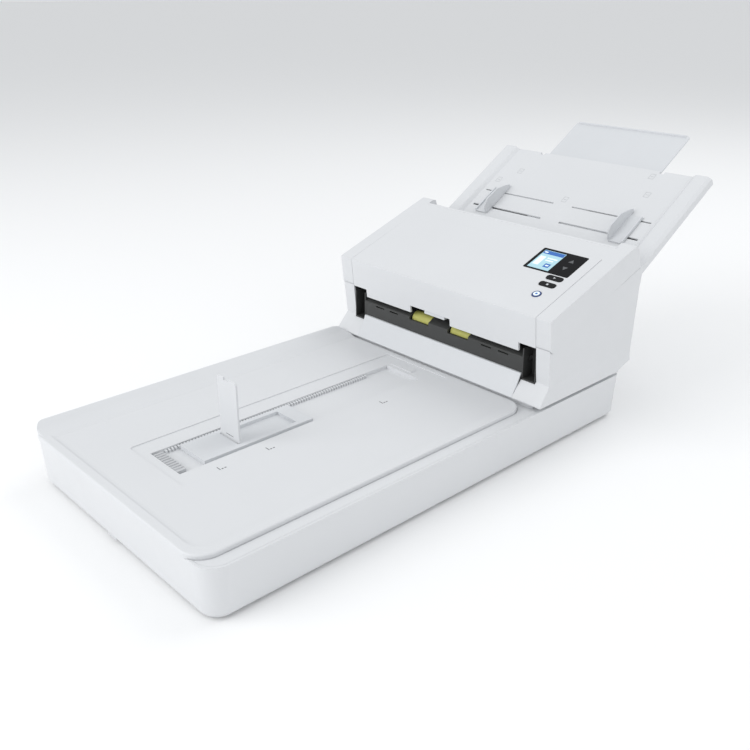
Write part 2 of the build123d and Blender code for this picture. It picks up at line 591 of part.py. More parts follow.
def roller_tyres(p):
    u, v = on_path(p, ROLLER_Q)
    return Compound(children=[tyre(u, v, ROLLER_R, SHAFT_R, *span(s, TYRE_IN, TYRE_OUT)) for s in (-1, 1)])


def feed_tyre():
    return tyre(*on_path(FEED_P, FEED_Q), FEED_R, SHAFT_R, -TYRE_OUT / 2 - 3, TYRE_OUT / 2 + 3)


MOTOR_U, MOTOR_V = 70.0, 26.0


def feeder_motor():
    x = PULLEY_X + 4
    can = rod_x(MOTOR_U, MOTOR_V, 17, x, x + 34)
    return can + block(x, x + 1.5, MOTOR_U - 20, MOTOR_U + 20, 2.5, MOTOR_V + 17)


def motor_pulley():
    wheel = rod_x(MOTOR_U, MOTOR_V, PULLEY_R, PULLEY_X - PULLEY_W, PULLEY_X)
    return wheel + rod_x(MOTOR_U, MOTOR_V, 2, PULLEY_X, PULLEY_X + 3.9)


def feeder_belt():
    corners = [on_path(EXIT_P, ROLLER_Q), (MOTOR_U, MOTOR_V), on_path(FEED_P, FEED_Q),
               on_path(DRIVE_P, ROLLER_Q)]
    face = make_face(Polyline(*corners, close=True))
    inside, outside = offset(face, PULLEY_R + FIT), offset(face, PULLEY_R + FIT + 1.2)
    ring = Plane.YZ.offset(PULLEY_X - PULLEY_W) * (outside - inside)
    return extrude(ring, PULLEY_W)


# ---------------------------------------------------------------- sheet feeder: hinged cover
def cheek_outline():
    u, v = COVER_PIVOT
    r = PIVOT_KNUCKLE_R
    arc = [(u + r * math.cos(math.radians(a)), v + r * math.sin(math.radians(a))) for a in range(180, 391,
                                                                                                 15)]
    seam = [(u + 8, seam_v(u + 8) + SEAM_GAP), (REAR_U - 16, seam_v(REAR_U - 16) + SEAM_GAP),
            (REAR_U - 4.6, seam_v(REAR_U - 4.6) + SEAM_GAP)]
    rear = [(REAR_U - 14.2, top_v(STRIP_END) + 1.5), (REAR_U - 19, top_v(STRIP_END) + 2.5)]
    return arc + seam + rear + [(0.8, FRONT_TOP + 0.3), (0, FRONT_TOP - 0.8)]


def panel_outline(u_end, depth):
    """Front face and top slope as one bent skin."""
    low, drop = COVER_LIP, depth / math.cos(math.radians(TOP_SLOPE))
    return [(face_u(low), low), (0, FRONT_TOP - 0.8), (0.8, FRONT_TOP + 0.3),
            (u_end, top_v(u_end)), (u_end, top_v(u_end) - drop), (depth + 0.4, top_v(depth + 0.4) - drop),
            (face_u(low) + depth, low)]


def cover_shell():
    body = across(cheek_outline(), -FEEDER_HALF, FEEDER_HALF)
    cavity = Plane.YZ * offset(make_face(Polyline(*cheek_outline(), close=True)), -WALL)
    reach = WINDOW_HALF + WALL
    for side in (-1, 1):
        x0, x1 = span(side, reach, FEEDER_HALF - WALL)
        body -= Pos(x0, 0, 0) * extrude(cavity, x1 - x0)
    low = 40.0
    open_to = PANEL_END + SEAM_GAP
    body -= across([(-20, low), (-20, 200), (open_to, 200), (open_to, low)], -WINDOW_HALF, WINDOW_HALF)
    body -= across([(open_to - 1, 0), (open_to - 1, top_v(open_to - 1) - WALL),
                    (STRIP_END - WALL, top_v(STRIP_END - WALL)
                   - WALL), (STRIP_END - WALL, 0)], -WINDOW_HALF, WINDOW_HALF)
    body -= across([(STRIP_END, 0), (STRIP_END, 200), (200, 200), (200, 0)], -WINDOW_HALF, WINDOW_HALF)
    body += throat_wall()
    for u in (46.0, 84.0):
        body += block(-WINDOW_HALF - 1, WINDOW_HALF + 1, u, u + 3, path_v(u) + 21, top_v(u) - 14)
    body -= rod_x(*on_tray(*TRAY_PIVOT), TRAY_PIN_R, -WINDOW_HALF - WALL, WINDOW_HALF + WALL)
    return body + both(lambda s: rod_x(*COVER_PIVOT, PIVOT_PIN_R,
                                       *span(s, WINDOW_HALF - EAR_IN, WINDOW_HALF + 1)))


def throat_wall():
    """Slanted wall that the stack of sheets leans against, open in the middle for the separation roller."""
    foot = on_path(FEED_P + 5, PATH_GAP + 3.5)
    wall = across([(STRIP_END, top_v(STRIP_END)), (STRIP_END, top_v(STRIP_END) - 5),
                   (foot[0] + WALL, foot[1]),
                   foot, (STRIP_END - WALL, top_v(STRIP_END - WALL) - 3),
                   (STRIP_END - WALL, top_v(STRIP_END - WALL))],
                  -WINDOW_HALF - 1, WINDOW_HALF + 1)
    wall -= block(-24, 24, 90, 170, 60, foot[1] + 20)
    below_seam = [(90, 0), (90, seam_v(90) + SEAM_GAP), (150, seam_v(150) + SEAM_GAP), (150, 0)]
    return wall - both(lambda s: across(below_seam, *span(s, WINDOW_HALF - CLEAR, WINDOW_HALF + 2)))


def top_panel():
    half = WINDOW_HALF - SEAM_GAP
    body = across(panel_outline(PANEL_END, WALL), -half, half)
    for side in (-1, 1):
        body -= block(*span(side, COLUMN_IN - 1, WINDOW_HALF + 1), -10, 12, 0, COLUMN_TOP)
    body -= block(NOTCH_X0, NOTCH_X1, -10, 12, 0, COLUMN_TOP - 1)
    for x, s, w, d in (BEZEL, KEYS["scan_button"], KEYS["stop_button"]):
        body -= TOP * key_hole(x, s, w, d)
    x, s, w, d = KEYS["power_button"]
    body -= TOP * (Pos(x, s, 0) * Cylinder(w / 2 + KEY_GAP, 20))
    return body


NOTCH_X0, NOTCH_X1 = -42.0, 20.0
KEY_GAP = 0.25
KEY_TRAVEL = 0.8
BEZEL = (97.5, 90.9, 59.0, 40.4)
KEYS = {"scan_button": (115.6, 64.6, 20.4, 7.6), "stop_button": (115.4, 52.0, 20.4, 7.6),
        "power_button": (115.3, 33.5, 10.5, 10.5)}
ARROWS = {"up_key": (113.6, 97.6, 1), "down_key": (113.6, 84.9, -1)}
SCREEN = (86.0, 90.5, 28.0, 34.5)


def key_hole(x, s, w, d):
    plan = RectangleRounded(w + 2 * KEY_GAP, d + 2 * KEY_GAP, min(w, d) / 2 - 0.4 if d < 10 else 2.0)
    return Pos(x, s, -10) * extrude(plan, 20)


def pill_key(name):
    x, s, w, d = KEYS[name]
    cap = Pos(x, s, -WALL - 0.3) * extrude(RectangleRounded(w, d, min(w, d) / 2 - 0.4 - KEY_GAP),
                                           WALL + 1.0)
    flange = Pos(x, s, -WALL - 1.1) * Box(w + 2, d + 1.6, 1.0,
                                          align=(Align.CENTER, Align.CENTER, Align.MIN))
    return TOP * (cap + flange)


def power_key():
    x, s, w, d = KEYS["power_button"]
    cap = Pos(x, s, -WALL / 2 + 0.3) * Cylinder(w / 2, WALL + 0.8)
    return TOP * (cap + Pos(x, s, -WALL - 0.6) * Cylinder(w / 2 + 1, 1.0))


def display_bezel():
    x, s, w, d = BEZEL
    plate = Pos(x, s, -WALL) * extrude(RectangleRounded(w, d, 1.8), WALL + 0.2)
    sx, ss, sw, sd = SCREEN
    plate -= Pos(sx, ss, 0) * Box(sw + 0.1, sd + 0.1, 2.4)
    for kx, ks, way in ARROWS.values():
        plate -= Pos(kx, ks, -6) * extrude(arrow(way, 3.8 + KEY_GAP), 12)
    return TOP * plate


def arrow(way, size):
    return RegularPolygon(size, 3, rotation=90 if way > 0 else -90)


def arrow_key(name):
    x, s, way = ARROWS[name]
    cap = Pos(x, s, -WALL - 0.3) * extrude(arrow(way, 3.8), WALL + 0.7)
    return TOP * (cap + Pos(x, s, -WALL - 0.6) * Cylinder(4.6, 1.0))


def lcd_screen():
    x, s, w, d = SCREEN
    return TOP * (Pos(x, s, -0.5) * Box(w, d, 1.3))


def display_board():
    z = -WALL - 1.1 - KEY_TRAVEL - 0.5
    return TOP * block(66, WINDOW_HALF - 9, 26, PANEL_END - 2, z - 1.6, z)


def release_tab():
    """White finger tab in the notch over the exit, pulled forward to free the cover."""
    x0, x1 = NOTCH_X0 + 22, NOTCH_X1 - 9
    v0, v1 = COVER_LIP + 4.5, COLUMN_TOP - 1.5
    tab = block(x0, x1, face_u(v1) + 0.9, face_u(v0) + 3.2, v0, v1)
    return tab + block(x0, x1, face_u(v0) + 3.0, face_u(v0) + 5.2, v0, v1 + 9)


def upper_paper_guide():
    half = COLUMN_IN - 1.0
    plate = block(-half, half, 16, FEED_P - 1, PATH_GAP, PATH_GAP + PLATE_T)
    plate += block(-half, half, 15, 17, PATH_GAP, PATH_GAP + 8)
    for side in (-1, 1):
        plate -= block(*span(side, TYRE_IN - 1, TYRE_OUT + 1), DRIVE_P - 7, DRIVE_P + 7, 0, 5)
    plate -= block(-SCAN_HALF - CLEAR, SCAN_HALF + CLEAR, SCAN_P, SCAN_P + SCAN_LEN, 0, 5)
    plate -= block(-26, 26, FEED_P - 13, FEED_P + 13, 0, 20)
    for side in (-1, 1):
        ear = block(*span(side, TYRE_OUT + 3, TYRE_OUT + 6), DRIVE_P - 5, DRIVE_P + 5, PATH_GAP, 13)
        plate += ear
    plate -= Pos(0, DRIVE_P, PINCH_Q) * Rot(0, 90, 0) * Cylinder(2 + FIT, 2 * TYRE_OUT + 30)
    return PATH * plate


PINCH_Q = ROLLER_Q + ROLLER_R + NIP_GAP + PINCH_R
SEPARATION_Q = FEED_Q + FEED_R + NIP_GAP + SEPARATION_R


def drive_pinch():
    u, v = on_path(DRIVE_P, PINCH_Q)
    body = rod_x(u, v, 2, -TYRE_OUT - 8, TYRE_OUT + 8)
    return body + both(lambda s: rod_x(u, v, PINCH_R, *span(s, TYRE_IN + 2, TYRE_OUT - 2)))


def separation_roller():
    u, v = on_path(FEED_P, SEPARATION_Q)
    return rod_x(u, v, SEPARATION_R, -19, 19) + rod_x(u, v, 2.5, -27.5, 27.5)


def separation_holder():
    """Bracket of the separation roller, hung from the cover's throat wall."""
    u, v = on_path(FEED_P, SEPARATION_Q)
    ears = both(lambda s: block(*span(s, 21.5, 23.5), u - 5, u + 5, v - 5, v + 15))
    ears -= rod_x(u, v, 2.5 + FIT, -30, 30)
    return ears + block(-23.5, 23.5, u - 5, u + 5, v + 13, v + 15) - throat_wall()


# ---------------------------------------------------------------- input tray with its guides and extension
GUIDE_T0, GUIDE_T1 = SLOT_LOW - 12.0, SLOT_HIGH + 13.0
PINION_T = (SLOT_LOW + SLOT_HIGH) / 2
PITCH_R = PINION_TEETH * PINION_MODULE / 2
RACK_Q0, RACK_Q1 = -4.0, -TRAY_SKIN - CLEAR


def slot_cut(t, width, z0, z1):
    cut = None
    for side in (-1, 1):
        x0, x1 = span(side, GUIDE_X - GUIDE_IN - 12, GUIDE_X + GUIDE_OUT + 16)
        piece = block(x0, x1, t - width / 2, t + width / 2, z0, z1)
        cut = piece if cut is None else cut + piece
    return cut


def tray_arms():
    """Arms that carry the tray up to its fold axis, inside the cover's cheeks."""
    t, n = TRAY_PIVOT
    def arm(side):
        x0, x1 = span(side, WINDOW_HALF - 9, WINDOW_HALF - CLEAR)
        plate = across([(t - TRAY_BOSS_R, n), (t + TRAY_BOSS_R, n), (TRAY_START + 12, RAIL_UP),
                        (TRAY_START + 12, -3),
                        (TRAY_START, -3), (TRAY_START - 3, RAIL_UP + 1)], x0, x1)
        return plate + rod_x(t, n, TRAY_BOSS_R, x0, x1)
    return both(arm)


def tray_top():
    t0, t1 = TRAY_START, TRAY_LEN
    body = block(-TRAY_HALF, TRAY_HALF, t0, t1, -TRAY_DEEP + 1.4, 0)
    rail = [(RAIL_HALF, -1), (RAIL_HALF, 0), (RAIL_HALF + 4, RAIL_UP - 0.7), (RAIL_HALF + 6, RAIL_UP),
            (TRAY_HALF - 4, RAIL_UP), (TRAY_HALF, RAIL_UP - 3), (TRAY_HALF, -1)]
    left = [(-x, z) for x, z in rail]
    body += along(rail, t0, t1 - 1) + along(left, t0, t1 - 1)
    body -= block(-EXT_HALF - CLEAR, EXT_HALF + CLEAR, t1 - EXT_HELD - EXT_SHOWN - 1, t1 + 1, -TRAY_DEEP,
                  EXT_TOP + CLEAR)
    pocket = GUIDE_X + GUIDE_OUT + 20
    body -= block(-pocket, pocket, SLOT_LOW - 5, SLOT_HIGH + 5, -TRAY_DEEP, -TRAY_SKIN)
    body -= slot_cut(SLOT_LOW, 3.0, -5, 1) + slot_cut(SLOT_HIGH, 2.0, -5, 1)
    body -= block(-EXT_HALF - 8, -EXT_HALF - 2, t1 - 4, t1 + 1, -9, 1)
    body -= block(EXT_HALF + 2, EXT_HALF + 8, t1 - 4, t1 + 1, -9, 1)
    body += tray_arms()
    body -= rod_x(*TRAY_PIVOT, TRAY_PIN_R + FIT, -WINDOW_HALF - 1, WINDOW_HALF + 1)
    body += Pos(0, PINION_T, -TRAY_SKIN - 0.95) * Cylinder(2.5, 2.1)
    return TRAY * body


def tray_bottom():
    t0, t1 = TRAY_START, TRAY_LEN
    plate = block(-TRAY_HALF + 2, TRAY_HALF - 2, t0 + 1, t1 - 2, -TRAY_DEEP, -TRAY_DEEP + 1.4)
    return TRAY * plate


def rack_outline(length):
    """Straight-sided rack teeth, 20 degrees, with a little backlash."""
    m, thin = PINION_MODULE, 0.12
    pitch = math.pi * m
    tip, root = m, 1.25 * m
    half_tip = pitch / 4 - tip * math.tan(math.radians(20)) - thin
    half_root = pitch / 4 + root * math.tan(math.radians(20)) - thin
    points = []
    for k in range(int(length / pitch) + 1):
        x = k * pitch
        points += [(x - half_root, 0), (x - half_tip, root + tip - 0.15), (x + half_tip, root + tip - 0.15),
                   (x + half_root, 0)]
    return points


RACK_BACK = 4.0
RACK_REACH = GUIDE_X + GUIDE_OUT + 20.0


def rack(side):
    """Rack bar of one guide: the right one runs below the pinion, the left one above it."""
    steps = int(RACK_REACH / (math.pi * PINION_MODULE))
    length = steps * math.pi * PINION_MODULE
    teeth = rack_outline(length)
    outline = [(teeth[0][0], -RACK_BACK)] + teeth + [(teeth[-1][0], -RACK_BACK)]
    shape = Pos(0, 0, RACK_Q0) * extrude(make_face(Polyline(*outline, close=True)), RACK_Q1 - RACK_Q0)
    low = PINION_T - PITCH_R - 1.25 * PINION_MODULE
    start = -math.floor((GUIDE_OUT + 20.0) / (math.pi * PINION_MODULE)) * math.pi * PINION_MODULE
    shape = Pos(start, low, 0) * shape
    return shape if side > 0 else Pos(0, PINION_T, 0) * Rot(0, 0, 180) * Pos(0, -PINION_T, 0) * shape


def guide_pinion():
    """Involute pinion with a tooth gap facing each rack tooth at rest."""
    m, z = PINION_MODULE, PINION_TEETH
    base = PITCH_R * math.cos(math.radians(20))
    half = math.pi / (2 * z) + math.tan(math.radians(20)) - math.radians(20) - 0.12 / PITCH_R
    flank = []
    for k in range(6):
        r = base + (PITCH_R + m - 0.15 - base) * k / 5
        a = math.acos(base / r)
        flank.append((r, half - (math.tan(a) - a)))
    points = []
    for k in range(z):
        middle = 2 * math.pi * (k + 0.5) / z - math.pi / 2
        tooth = [(PITCH_R - 1.25 * m, -half)] + [(r, -a) for r, a in flank]
        tooth += [(r, a) for r, a in reversed(flank)] + [(PITCH_R - 1.25 * m, half)]
        points += [(r * math.cos(middle + a), r * math.sin(middle + a)) for r, a in tooth]
    wheel = extrude(make_face(Polyline(*points, close=True)), RACK_Q1 - RACK_Q0)
    wheel -= Pos(0, 0, 0) * Cylinder(2.5 + FIT, 10)
    return TRAY * (Pos(0, PINION_T, RACK_Q0) * wheel)


def paper_guide(side):
    x = GUIDE_X
    z0 = CLEAR
    blade = across([(GUIDE_T0, z0), (GUIDE_T0, 6), (GUIDE_T0 + 5, GUIDE_H - 3), (GUIDE_T0 + 10, GUIDE_H),
                    (GUIDE_T1 - 22, GUIDE_H - 1), (GUIDE_T1 - 6, 8), (GUIDE_T1, 4), (GUIDE_T1, z0)], x,
                    x + 1.8)
    foot = block(x, x + GUIDE_FLANGE, GUIDE_T0, GUIDE_T1 - 8, z0, z0 + 1.4)
    foot += block(x + GUIDE_FLANGE - 2, x + GUIDE_FLANGE, GUIDE_T0 + 1, GUIDE_T1 - 9, z0, z0 + 3.4)
    rack_t, other_t, rack_w, other_w = (SLOT_LOW, SLOT_HIGH, 2.4, 1.4)
    if side < 0:
        rack_t, other_t, rack_w, other_w = SLOT_HIGH, SLOT_LOW, 1.4, 2.4
    stem = block(x + 1, x + 9, rack_t - rack_w / 2, rack_t + rack_w / 2, RACK_Q0, z0 + 0.5)
    stem += block(x + 1, x + 9, other_t - other_w / 2, other_t + other_w / 2, -TRAY_SKIN + 0.1, z0 + 0.5)
    body = blade + foot + stem
    if side < 0:
        body = mirror(body, about=Plane.YZ)
    bar = rack(side)
    tie_low, tie_high = (PINION_T - PITCH_R - 5.0, rack_t + 1.2) if side > 0 else (rack_t - 0.7,
                                                                                   PINION_T + PITCH_R + 5.0)
    tie = block(*span(side, x - 6, x + 9), tie_low, tie_high, RACK_Q0, RACK_Q1)
    return TRAY * (body + bar + tie)


def tray_extension():
    t0, t1 = TRAY_LEN - EXT_HELD, TRAY_LEN + EXT_SHOWN
    plate = block(-EXT_HALF, EXT_HALF, t0, t1, EXT_TOP - EXT_T, EXT_TOP)
    plate = fillet(plate.edges().filter_by(Axis.Z).group_by(Axis.Y)[-1], 3)
    lip = block(-EXT_HALF + 4, EXT_HALF - 4, t1 - 2.4, t1, EXT_TOP - 0.5, EXT_TOP + 1.6)
    return TRAY * (plate + lip)


def tray_pins():
    """Two pins pressed into the cheeks, on which the tray folds."""
    u, v = on_tray(*TRAY_PIVOT)
    pins = [rod_x(u, v, TRAY_PIN_R, *span(s, WINDOW_HALF - 9.5, WINDOW_HALF + WALL)) for s in (-1, 1)]
    return Compound(children=pins)


# ---------------------------------------------------------------- every piece, by node name
FLATBED = {"base_tub": base_tub, "rubber_feet": rubber_feet, "top_frame": top_frame,
           "flatbed_glass": flatbed_glass, "carriage_rod": carriage_rod, "scan_carriage": scan_carriage,
           "carriage_belt": carriage_belt, "idler_pulley": idler_pulley, "carriage_pulley": carriage_pulley,
           "carriage_motor": carriage_motor, "control_board": control_board,
           "power_inlet": lambda: socket("power_inlet"), "usb_socket": lambda: socket("usb_socket"),
           "hinge_brackets": hinge_brackets, "hinge_pins": hinge_pins, "lid_shell": lid_shell,
           "lid_pan": lid_pan,
           "document_mat": document_mat, "stopper_grip": stopper_grip, "stopper_sled": stopper_sled,
           "stopper_flap": stopper_flap}

SHEET_FEEDER = {"lower_housing": lower_housing, "exit_ramp": exit_ramp, "exit_fascia": exit_fascia,
                "lower_paper_guide": lower_paper_guide, "lower_scan_bar": lambda: scan_bar(True),
                "upper_scan_bar": lambda: scan_bar(False), "side_frames": side_frames,
                "exit_shaft": lambda: powered_shaft(EXIT_P, ROLLER_Q, POCKET_IN + 1.3),
                "drive_shaft": lambda: powered_shaft(DRIVE_P, ROLLER_Q, WINDOW_HALF - 0.1),
                "feed_shaft": lambda: powered_shaft(FEED_P, FEED_Q, WINDOW_HALF - 0.1),
                "exit_tyres": lambda: roller_tyres(EXIT_P), "drive_tyres": lambda: roller_tyres(DRIVE_P),
                "feed_tyre": feed_tyre, "feeder_motor": feeder_motor, "motor_pulley": motor_pulley,
                "feeder_belt": feeder_belt, "cover_shell": cover_shell, "top_panel": top_panel,
                "display_bezel": display_bezel, "lcd_screen": lcd_screen, "display_board": display_board,
                "scan_button": lambda: pill_key("scan_button"),
                "stop_button": lambda: pill_key("stop_button"),
                "power_button": power_key, "up_key": lambda: arrow_key("up_key"),
                "down_key": lambda: arrow_key("down_key"), "release_tab": release_tab,
                "upper_paper_guide": upper_paper_guide, "drive_pinch": drive_pinch,
                "separation_roller": separation_roller, "separation_holder": separation_holder,
                "tray_pins": tray_pins, "tray_top": tray_top, "tray_bottom": tray_bottom,
                "guide_pinion": guide_pinion, "paper_guide_right": lambda: paper_guide(1),
                "paper_guide_left": lambda: paper_guide(-1), "tray_extension": tray_extension}


def on_deck(shape):
    """A feeder piece moved to its place on the casing."""
    solids = [FEEDER * solid for solid in shape.solids()]
    return solids[0] if len(solids) == 1 else Compound(children=solids)


def main():
    os.makedirs("parts", exist_ok=True)
    for name, make in FLATBED.items():
        export_step(make(), "parts/" + name + ".step")
    for name, make in SHEET_FEEDER.items():
        export_step(on_deck(make()), "parts/" + name + ".step")


main()
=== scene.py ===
# %% [markdown]
# # A document scanner with a sheet feeder and a flatbed
#
# The object is a white office machine: a long flatbed lies in front, and a taller feeder stands behind it
# with a tilted tray for the stack of sheets. Every hard part arrives as a finished mesh with its place
# already in its points. This lesson gives those parts softer edges, believable plastics and the small
# printed and moulded marks that the eye looks for.
#
# Sizes are in metres. The places of marks are counted from the loaded parts' own boxes and surfaces, so they
# move along when a part changes.

# %% Load the parts
import bpy
import bmesh
import math
import numpy as np
import json
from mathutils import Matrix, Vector
from mathutils.bvhtree import BVHTree

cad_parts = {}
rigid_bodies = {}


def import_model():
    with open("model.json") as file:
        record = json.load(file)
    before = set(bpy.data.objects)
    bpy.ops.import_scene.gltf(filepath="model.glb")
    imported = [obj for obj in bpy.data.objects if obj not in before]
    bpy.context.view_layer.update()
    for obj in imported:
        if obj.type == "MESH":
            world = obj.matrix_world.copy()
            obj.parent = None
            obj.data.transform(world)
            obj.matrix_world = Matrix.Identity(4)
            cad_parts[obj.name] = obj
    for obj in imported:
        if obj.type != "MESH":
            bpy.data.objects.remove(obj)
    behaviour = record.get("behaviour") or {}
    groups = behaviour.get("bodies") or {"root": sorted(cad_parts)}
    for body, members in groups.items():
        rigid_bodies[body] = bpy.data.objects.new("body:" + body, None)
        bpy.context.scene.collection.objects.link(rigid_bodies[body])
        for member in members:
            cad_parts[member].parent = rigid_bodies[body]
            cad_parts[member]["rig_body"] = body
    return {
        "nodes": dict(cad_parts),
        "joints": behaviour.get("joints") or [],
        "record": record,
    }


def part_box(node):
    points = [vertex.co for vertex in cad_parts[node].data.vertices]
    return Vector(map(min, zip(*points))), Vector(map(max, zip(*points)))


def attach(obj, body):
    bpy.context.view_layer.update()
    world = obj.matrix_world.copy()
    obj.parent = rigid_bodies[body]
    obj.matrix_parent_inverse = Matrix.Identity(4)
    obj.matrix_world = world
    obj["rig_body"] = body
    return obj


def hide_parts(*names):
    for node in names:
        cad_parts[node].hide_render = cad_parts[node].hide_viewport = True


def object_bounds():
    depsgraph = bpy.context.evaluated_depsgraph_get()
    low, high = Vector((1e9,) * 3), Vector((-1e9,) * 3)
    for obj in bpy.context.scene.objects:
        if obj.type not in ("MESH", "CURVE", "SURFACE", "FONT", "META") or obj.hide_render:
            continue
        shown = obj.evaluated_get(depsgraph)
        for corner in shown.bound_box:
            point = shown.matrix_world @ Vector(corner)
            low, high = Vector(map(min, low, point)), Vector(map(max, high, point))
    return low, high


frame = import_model()
NODES = frame["nodes"]
JOINTS = {joint["name"]: joint for joint in frame["joints"]}
cad_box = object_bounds()
print("parts:", len(NODES), "moving joints:", len(JOINTS))
print("whole object from", [round(v, 4) for v in cad_box[0]], "to", [round(v, 4) for v in cad_box[1]])


def add_object(name, data):
    """Puts a mesh, lamp or camera into the scene as an object."""
    made = bpy.data.objects.new(name, data)
    bpy.context.scene.collection.objects.link(made)
    return made


# %% [markdown]
# ## Camera
#
# A product shot is taken from far away with a longer lens, so that parallel edges stay nearly parallel.
# The camera could be placed by hand and turned until it looks right. Here it gets a place and two angles,
# which is easy to repeat: azimuth turns it round the object and elevation tips it down.

# %% Camera at the front right, looking down
SPOT = Vector((0.6515, -0.5596, 0.4669))
AZIMUTH, ELEVATION, ROLL = 47.54, 23.15, 0.22

lens = bpy.data.cameras.new("camera")
lens.lens, lens.sensor_width = 43.07, 36.0
lens.shift_x, lens.shift_y = 0.0075, -0.0195
lens.clip_start = 0.01
camera = add_object("camera", lens)
camera.location = SPOT
camera.rotation_euler = (math.radians(90 - ELEVATION), math.radians(ROLL), math.radians(AZIMUTH))
bpy.context.scene.camera = camera
print("camera at", [round(v, 3) for v in camera.location], "lens", lens.lens, "mm")

# %% [markdown]
# ## Floor and light
#
# White plastic on a white floor needs soft light from large lamps, with one side a little darker, or the
# faces melt together. Area lamps do this: the larger the lamp, the softer the edge of its shadow. A bright
# world colour fills what the lamps miss.

# %% Pale floor
FLOOR_SIZE = 40.0


def make_floor(size):
    """One square sheet on the ground, with corners at plus and minus half its size."""
    mesh = bpy.data.meshes.new("floor")
    half = size / 2
    corners = [(-half, -half, 0), (half, -half, 0), (half, half, 0), (-half, half, 0)]
    mesh.from_pydata(corners, [], [(0, 1, 2, 3)])
    return add_object("floor", mesh)


floor = make_floor(FLOOR_SIZE)
paper = bpy.data.materials.new("studio_paper")
paper.use_nodes = True
paper_shader = paper.node_tree.nodes["Principled BSDF"]
paper_shader.inputs["Base Color"].default_value = (0.93, 0.93, 0.93, 1)
paper_shader.inputs["Roughness"].default_value = 0.9
floor.data.materials.append(paper)
print("floor", round(floor.dimensions.x, 1), "m wide")

# %% Three large lamps and a bright world
LAMPS = {  # place in metres, side in metres, power in watts
    "key": ((-0.7, -1.9, 1.2), 1.7, 24.0),
    "fill": ((1.8, -0.1, 0.9), 1.4, 4.5),
    "back": ((0.2, 1.5, 1.9), 1.6, 12.0),
}
LAMP_TARGET = Vector((0, 0, 0.06))
WORLD_COLOUR, WORLD_STRENGTH = (0.96, 0.98, 1.0, 1), 0.74


def make_lamp(name, place, size, power):
    """A square area lamp that looks along target minus place."""
    light = bpy.data.lights.new(name, "AREA")
    light.size, light.energy = size, power
    lamp = add_object(name, light)
    lamp.location = place
    aim = LAMP_TARGET - Vector(place)
    lamp.rotation_euler = aim.to_track_quat("-Z", "Y").to_euler()
    return lamp


for name, (place, size, power) in LAMPS.items():
    make_lamp(name, place, size, power)
world = bpy.data.worlds.new("studio")
world.use_nodes = True
sky = world.node_tree.nodes["Background"]
sky.inputs["Color"].default_value = WORLD_COLOUR
sky.inputs["Strength"].default_value = WORLD_STRENGTH
bpy.context.scene.world = world
bpy.context.scene.view_settings.view_transform = "Standard"
print("lamps:", sorted(LAMPS))

# %% [markdown]
# ## Plastics and metals
#
# A moulded shell isn't one flat colour. Its tint drifts a little over the surface, and the mould leaves a
# fine grain that breaks up reflections. Both come from noise textures in object coordinates: a broad one
# moves the colour and the roughness, and a fine one drives a bump. An image texture could do the same, but
# noise has no seams and works on any shape.

# %% Parts of a material
def link(tree, a, b):
    """Joins an output socket to an input socket."""
    tree.links.new(a, b)


def noise(tree, scale, detail=3.0):
    """A noise texture in object coordinates, scale in features per metre."""
    place = tree.nodes.new("ShaderNodeTexCoord")
    made = tree.nodes.new("ShaderNodeTexNoise")
    made.inputs["Scale"].default_value = scale
    made.inputs["Detail"].default_value = detail
    link(tree, place.outputs["Object"], made.inputs["Vector"])
    return made


def between(tree, source, low, high):
    """Maps 0.3 to 0.7 of a noise, where most of it lies, to the range low to high."""
    made = tree.nodes.new("ShaderNodeMapRange")
    for key, value in (("From Min", 0.3), ("From Max", 0.7), ("To Min", low), ("To Max", high)):
        made.inputs[key].default_value = value
    link(tree, source, made.inputs["Value"])
    return made.outputs["Result"]


def blend_colours(tree, factor, first, second):
    """Colour first (1 - factor) + second factor."""
    made = tree.nodes.new("ShaderNodeMix")
    made.data_type = "RGBA"
    made.inputs["A"].default_value = (*first, 1)
    made.inputs["B"].default_value = (*second, 1)
    link(tree, factor, made.inputs["Factor"])
    return made.outputs["Result"]


BROAD, PATCHES = 9.0, 60.0  # noise scales in features per metre
GLOSS_DRIFT = 0.05
span = (Vector(cad_box[1]) - Vector(cad_box[0])).length
print("broad patches along the object's diagonal:", round(span * BROAD, 1))

# %% A moulded material
def finish(name, colour, rough, drift=0.03, grain=1500.0, relief=0.00002, metal=0.0, sheen=0.5):
    """Tint and gloss drift slowly, and a fine grain is a bump of relief metres.

    The tint runs from colour (1 - drift) to colour, and the roughness from rough - 0.05 to rough + 0.05.
    """
    made = bpy.data.materials.new(name)
    made.use_nodes = True
    tree = made.node_tree
    shader = tree.nodes["Principled BSDF"]
    broad = noise(tree, BROAD)
    dark = tuple(c * (1 - drift) for c in colour)
    tint = blend_colours(tree, between(tree, broad.outputs["Fac"], 0, 1), dark, colour)
    link(tree, tint, shader.inputs["Base Color"])
    patches = noise(tree, PATCHES)
    gloss = between(tree, patches.outputs["Fac"], rough - GLOSS_DRIFT, rough + GLOSS_DRIFT)
    link(tree, gloss, shader.inputs["Roughness"])
    shader.inputs["Metallic"].default_value = metal
    shader.inputs["Specular IOR Level"].default_value = sheen
    fine = noise(tree, grain, 2.0)
    bump = tree.nodes.new("ShaderNodeBump")
    bump.inputs["Strength"].default_value = 0.6
    bump.inputs["Distance"].default_value = relief
    link(tree, fine.outputs["Fac"], bump.inputs["Height"])
    link(tree, bump.outputs["Normal"], shader.inputs["Normal"])
    return made


